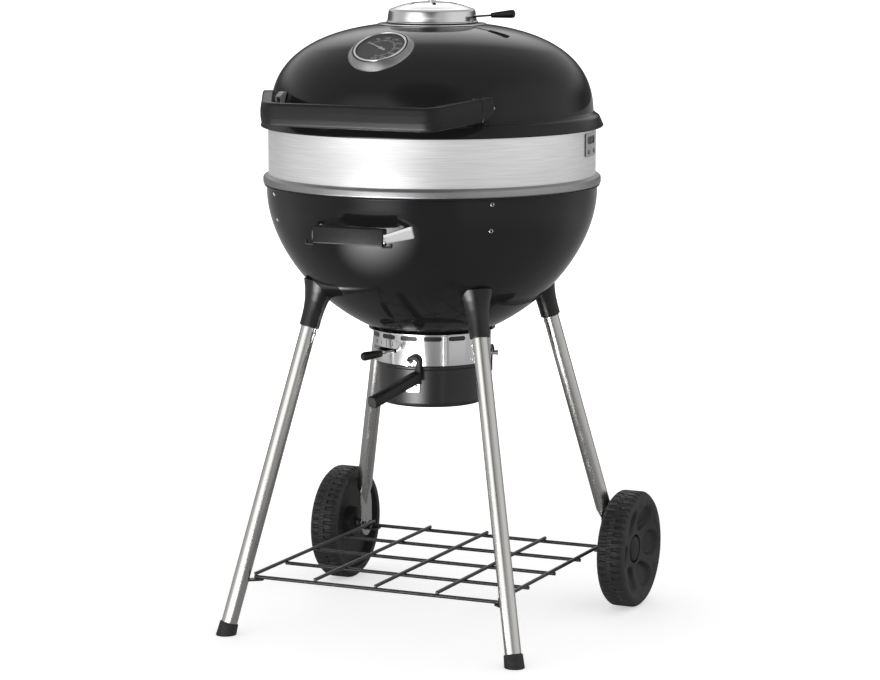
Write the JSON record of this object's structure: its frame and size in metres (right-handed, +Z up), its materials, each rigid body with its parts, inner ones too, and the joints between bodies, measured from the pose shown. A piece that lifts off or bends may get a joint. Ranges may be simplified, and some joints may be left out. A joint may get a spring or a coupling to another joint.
{
  "type": "kettle charcoal grill",
  "caption": "Round kettle charcoal grill on four splayed tube legs, with a hinged dome lid, steel band, top and bottom vents, ash catcher, wire rack and rear wheels.",
  "frame": {"origin": "on the floor, on the kettle's vertical axis", "axes": "+Z up, -Y towards the user's side with the handles, +X to the grill's right as seen from the front"},
  "size_m": [0.624, 0.6815, 1.097],
  "materials": {
    "enamel": "gloss black porcelain enamel",
    "brushed_band": "stainless steel, brushed round the band",
    "stainless": "satin stainless steel",
    "polished_steel": "polished stainless steel",
    "satin_trim": "satin grey metal",
    "leg_steel": "stainless tube, brushed along its length",
    "handle_plastic": "fine-textured black nylon",
    "socket_plastic": "satin black nylon",
    "pan_coating": "satin black powder coat",
    "rack_coating": "black powder-coated wire",
    "cooking_bars": "seasoned dark steel bars",
    "coal_bars": "plain heat-stained steel bars",
    "damper_steel": "matt aluminised steel",
    "wheel_rubber": "matt black moulded wheel",
    "foot_rubber": "matt black rubber",
    "dial_face": null,
    "needle_paint": "white paint",
    "dial_glass": "clear glass"
  },
  "bodies": {
    "stand": {"band_hinge_bracket": "stainless", "hinge_pin": "stainless", "steel_band": "brushed_band", "trim_ring": "satin_trim", "side_slot_plates": "stainless", "bowl_shell": "enamel", "grate_supports": "damper_steel", "rivets": "polished_steel", "charcoal_grate": "coal_bars", "bowl_handle_strap": "polished_steel", "bowl_handle_grip": "handle_plastic", "bowl_handle_screws": "stainless", "ash_housing": "stainless", "ash_scale_plate": "stainless", "housing_studs": "stainless", "leg_front_left": "leg_steel", "leg_front_right": "leg_steel", "leg_rear_left": "leg_steel", "leg_rear_right": "leg_steel", "leg_sockets": "socket_plastic", "leg_screws": "stainless", "foot_caps": "foot_rubber", "bottom_rack": "rack_coating", "rack_clips": "rack_coating", "axle_bolts": "stainless"},
    "lid": {"lid_shell": "enamel", "lid_handle": "handle_plastic", "lid_handle_brackets": "polished_steel", "lid_bolts": "stainless", "top_vent_flange": "stainless", "top_vent_base": "enamel", "top_vent_cap": "stainless", "top_vent_bolt": "stainless", "thermometer_housing": "satin_trim", "thermometer_bezel": "polished_steel", "thermometer_dial": "dial_face", "thermometer_lens": "dial_glass", "thermometer_probe": "stainless", "thermometer_nut": "stainless", "lid_hinge_leaf": "stainless"},
    "top_damper": {"top_damper_disc": "damper_steel", "top_damper_lever": "stainless", "top_damper_grip": "handle_plastic"},
    "needle": {"thermometer_needle": "needle_paint"},
    "bottom_damper": {"sweep_damper": "damper_steel", "sweep_lever": "stainless", "sweep_grip": "handle_plastic"},
    "ash_catcher": {"ash_pan": "pan_coating", "ash_pan_handle": "handle_plastic", "ash_pan_bracket": "stainless", "ash_pan_screw": "polished_steel", "ash_pan_hooks": "pan_coating"},
    "grate": {"cooking_grate": "cooking_bars"},
    "flap_left": {"grate_flap_left": "cooking_bars"},
    "flap_right": {"grate_flap_right": "cooking_bars"},
    "left_wheel": {"wheel_left": "wheel_rubber", "hub_cap_left": "handle_plastic"},
    "right_wheel": {"wheel_right": "wheel_rubber", "hub_cap_right": "handle_plastic"}
  },
  "joints": [
    {"name": "lid_hinge", "type": "hinge", "parent": "stand", "child": "lid", "pos_m": [0, 0.31, 0.894], "axis": [-1, 0, 0], "range_deg": [0, 85]},
    {"name": "top_vent_turn", "type": "hinge", "parent": "lid", "child": "top_damper", "pos_m": [0, 0, 1.066], "axis": [0, 0, 1], "range_deg": [0, 60]},
    {"name": "thermometer_needle_turn", "type": "hinge", "parent": "lid", "child": "needle", "pos_m": [0, -0.207, 1.02371], "axis": [0, -0.4848, 0.8746], "range_deg": [-240, 0]},
    {"name": "bottom_damper_turn", "type": "hinge", "parent": "stand", "child": "bottom_damper", "pos_m": [0, 0, 0.494], "axis": [0, 0, -1], "range_deg": [0, 34]},
    {"name": "ash_catcher_twist", "type": "hinge", "parent": "stand", "child": "ash_catcher", "pos_m": [0, 0, 0.47], "axis": [0, 0, 1], "range_deg": [0, 12]},
    {"name": "grate_lift", "type": "slide", "parent": "stand", "child": "grate", "axis": [0, 0, 1], "range_m": [0, 0.06]},
    {"name": "flap_left_hinge", "type": "hinge", "parent": "grate", "child": "flap_left", "pos_m": [-0.11, 0, 0.7785], "axis": [0, 1, 0], "range_deg": [0, 95]},
    {"name": "flap_right_hinge", "type": "hinge", "parent": "grate", "child": "flap_right", "pos_m": [0.11, 0, 0.7785], "axis": [0, -1, 0], "range_deg": [0, 95]},
    {"name": "wheel_left_spin", "type": "hinge", "parent": "stand", "child": "left_wheel", "pos_m": [-0.286, 0.232, 0.105], "axis": [1, 0, 0], "continuous": true},
    {"name": "wheel_right_spin", "type": "hinge", "parent": "stand", "child": "right_wheel", "pos_m": [0.286, 0.232, 0.105], "axis": [1, 0, 0], "continuous": true}
  ]
}
